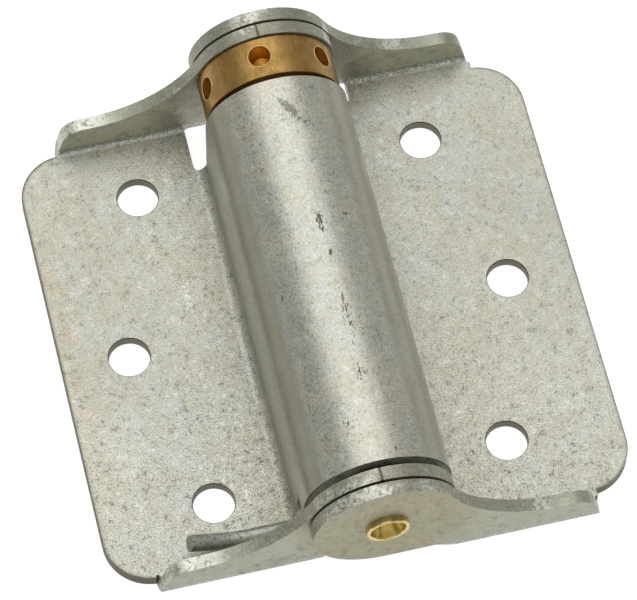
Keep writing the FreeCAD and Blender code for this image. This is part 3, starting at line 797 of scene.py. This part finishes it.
def wireCourse(tree, size):
    # the leg lies on the leaf, the coil fills the barrel and the hook turns into the collar
    radius, foot, start = size["Coil Radius"], size["Coil Foot"], size["Start Angle"]
    cosine, sine = mathOf(tree, "COSINE", start), mathOf(tree, "SINE", start)
    startAcross = product(tree, radius, cosine)
    startUp = plus(tree, size["Pin Height"], product(tree, radius, sine))
    legPlace, legHeight = size["Leg Place"], size["Leg Height"]
    tip = pointOf(tree, negated(tree, size["Leg Reach"]), legPlace, plus(tree, legHeight, size["Leg Lift"]))
    knee = pointOf(tree, negated(tree, size["Leg Knee"]), legPlace, legHeight)
    corner = pointOf(tree, negated(tree, size["Leg Corner"]), legPlace, legHeight)
    coilStart = pointOf(tree, startAcross, foot, startUp)
    legBends = (size["Knee Bend"], size["Leg Bend"])
    leg = cornered(tree, (tip, knee, corner, coilStart), legBends, spring["legOrder"])

    top = plus(tree, foot, product(tree, size["Pitch"], size["Turns"]))
    coilEnd = pointOf(tree, startAcross, top, startUp)
    hookAcross = plus(tree, startAcross, product(tree, size["Hook Run"], negated(tree, sine)))
    hookUp = plus(tree, startUp, product(tree, size["Hook Run"], cosine))
    hookCorner = pointOf(tree, hookAcross, top, hookUp)
    hookTip = pointOf(tree, hookAcross, size["Hook Top"], hookUp)
    hook = cornered(tree, (coilEnd, hookCorner, hookTip), (size["Hook Bend"],), spring["hookOrder"])

    joined = addNode(tree, "GeometryNodeJoinGeometry")
    for stretch in (leg, wireCoil(tree, size), hook):
        tree.links.new(stretch, joined.inputs[0])
    merging = {"Geometry": joined.outputs[0], "Distance": spring["joinGap"]}
    merged = addNode(tree, "GeometryNodeMergeByDistance", merging).outputs[0]
    named = {"Name": "courseOrder"}
    order = addNode(tree, "GeometryNodeInputNamedAttribute", named, data_type="FLOAT").outputs[0]
    return addNode(tree, "GeometryNodePointsToCurves", {"Points": merged, "Weight": order}).outputs[0]


def wireSpring():
    finish = steelFinish("springSteel")
    tree, size = newTree(spring["name"], spring["sizes"])
    run = addNode(tree, "GeometryNodeSplineParameter").outputs
    course = stored(tree, wireCourse(tree, size), "wireRun", run["Length"])
    section = stored(tree, circleOf(tree, size["Sides"], size["Wire Radius"]), "wireTurn", run["Factor"])
    swept = {"Curve": course, "Profile Curve": section, "Fill Caps": True}
    ended(tree, addNode(tree, "GeometryNodeCurveToMesh", swept).outputs[0], finish)
    piece = grown(spring["name"], tree, spring["sizes"])
    piece.data.shade_smooth()
    piece.data.set_sharp_from_angle(angle=spring["sharpAngle"])
    dressed(piece, spring, finish)


wireSpring()

lips = {
    "name": "tommyLips", "body": "collar_body", "slot": "turned_brass", "shine": 0.7,
    "sizes": {
        "Collar Radius": 14.6 * mm, "Lip Radius": 2.5 * mm, "Lip Thickness": 0.09 * mm, "Holes": 6,
        "First Angle": math.radians(98.5), "Place": 46.55 * mm, "Pin Height": 20.4 * mm,
        "Steps": 56, "Sides": 8,
    },
}


def holeLips():
    # the raised burr that a drill leaves round each tommy hole, bent to the collar's curve
    finish = brassFinish("burnishedBrass", lips["shine"])
    tree, size = newTree(lips["name"], lips["sizes"])
    radius = size["Collar Radius"]
    ring = circleOf(tree, size["Steps"], size["Lip Radius"])
    swept = {"Curve": ring, "Profile Curve": circleOf(tree, size["Sides"], size["Lip Thickness"])}
    lip = addNode(tree, "GeometryNodeCurveToMesh", swept).outputs[0]
    aside = axesOf(tree, addNode(tree, "GeometryNodeInputPosition").outputs[0])["X"]
    curve = mathOf(tree, "SQRT", minus(tree, product(tree, radius, radius), product(tree, aside, aside)))
    lip = placed(tree, lip, "Offset", pointOf(tree, 0.0, 0.0, minus(tree, curve, radius)))

    share = mathOf(tree, "DIVIDE", product(tree, numberOf(tree), 2 * math.pi), size["Holes"])
    angle = plus(tree, size["First Angle"], share)
    across = product(tree, radius, mathOf(tree, "COSINE", angle))
    up = plus(tree, size["Pin Height"], product(tree, radius, mathOf(tree, "SINE", angle)))
    row = placed(tree, rowOf(tree, size["Holes"]), "Position", pointOf(tree, across, size["Place"], up))
    facing = pointOf(tree, 0.0, minus(tree, math.pi / 2, angle), 0.0)
    feeds = {"Points": row, "Instance": lip, "Rotation": facing}
    ended(tree, addNode(tree, "GeometryNodeInstanceOnPoints", feeds).outputs[0], finish)
    piece = grown(lips["name"], tree, lips["sizes"])
    piece.data.shade_smooth()
    dressed(piece, lips, finish)


holeLips()


# floor, light and camera, in metres

stage = {
    "floorSize": 6.0, "floorDrop": 0.02 * mm, "nearColor": (0.30, 0.30, 0.30), "farColor": (0.5, 0.5, 0.5),
    "whiteSpan": (1.2, 0.45),  # how far off the floor starts to whiten and is white
    "glow": 0.9, "worldColor": (0.43, 0.43, 0.41),
}


def studioFloor():
    half = stage["floorSize"] / 2
    corners = [(-half, -half, 0), (half, -half, 0), (half, half, 0), (-half, half, 0)]
    mesh = bpy.data.meshes.new("studioFloor")
    mesh.from_pydata(corners, [], [(0, 1, 2, 3)])
    floor = linked("studioFloor", mesh)
    floor.location.z = -stage["floorDrop"]
    paint = bpy.data.materials.new("floorPaint")
    paint.use_nodes = True
    tree = paint.node_tree
    tree.nodes.clear()
    coordinates = addNode(tree, "ShaderNodeTexCoord").outputs["Object"]
    reach = addNode(tree, "ShaderNodeVectorMath", {0: coordinates}, operation="LENGTH").outputs["Value"]
    near = rise(tree, reach, stage["whiteSpan"])
    color = tinted(tree, near, stage["farColor"], stage["nearColor"])
    matt = addNode(tree, "ShaderNodeBsdfDiffuse", {"Color": color}).outputs[0]
    rays = addNode(tree, "ShaderNodeLightPath").outputs
    seen = larger(tree, rays["Is Camera Ray"], rays["Is Glossy Ray"])
    seen = larger(tree, seen, rays["Is Transmission Ray"])
    light = product(tree, seen, near, stage["glow"])
    glow = addNode(tree, "ShaderNodeEmission", {"Strength": light}).outputs[0]
    both = addNode(tree, "ShaderNodeAddShader", {0: matt, 1: glow}).outputs[0]
    clear = addNode(tree, "ShaderNodeBsdfTransparent").outputs[0]
    below = addNode(tree, "ShaderNodeNewGeometry").outputs["Backfacing"]
    paper = addNode(tree, "ShaderNodeMixShader", {0: below, 1: both, 2: clear}).outputs[0]  # clear from below
    addNode(tree, "ShaderNodeOutputMaterial", {"Surface": paper})
    mesh.materials.append(paint)


def studioWorld():
    world = bpy.data.worlds.new("studioRoom")
    bpy.context.scene.world = world
    world.use_nodes = True
    background = world.node_tree.nodes["Background"]
    feed(world.node_tree, background.inputs["Color"], stage["worldColor"])


overhead = {
    "name": "overheadBox", "toward": (-0.05, 0.437, 0.9), "distance": 1.6,
    "width": 1.66, "length": 1.8, "radiance": 1.5,
}
front = {
    "name": "frontBox", "toward": (-0.1, -0.62, 0.78), "distance": 1.6,
    "width": 1.3, "length": 0.9, "radiance": 1.0,
}
aside = {
    "name": "sideBox", "toward": (0.8, 0.43, 0.4), "distance": 1.6,
    "width": 0.9, "length": 0.9, "radiance": 0.16,
}


def softbox(settings):
    # a lamp facing the hinge; its power follows from how bright it looks
    lamp = bpy.data.lights.new(settings["name"], "AREA")
    lamp.shape = "RECTANGLE"
    lamp.size = settings["width"]
    lamp.size_y = settings["length"]
    lamp.energy = settings["radiance"] * math.pi * settings["width"] * settings["length"]
    box = linked(settings["name"], lamp)
    toward = Vector(settings["toward"]).normalized()
    box.location = toward * settings["distance"]
    box.rotation_euler = toward.to_track_quat("Z", "Y").to_euler()


view = {
    "place": (-97.897, -365.713, 756.726), "turn": (26.9001, -0.7222, -13.5144),  # millimetres, degrees
    "focalPixels": 4003.93, "imageWidth": 637, "sensor": 36.0, "nearest": 0.01, "farthest": 20.0,
}


def photoCamera():
    camera = bpy.data.cameras.new("photoCamera")
    camera.sensor_width = view["sensor"]
    camera.lens = view["focalPixels"] * view["sensor"] / view["imageWidth"]
    camera.clip_start = view["nearest"]
    camera.clip_end = view["farthest"]
    eye = linked("photoCamera", camera)
    eye.location = Vector(view["place"]) * mm
    eye.rotation_euler = Euler([math.radians(angle) for angle in view["turn"]])
    bpy.context.scene.camera = eye


studioFloor()
studioWorld()
for box in (overhead, front, aside):
    softbox(box)
photoCamera()
bpy.context.scene.view_settings.view_transform = "Standard"
print("floor, light and camera ready")
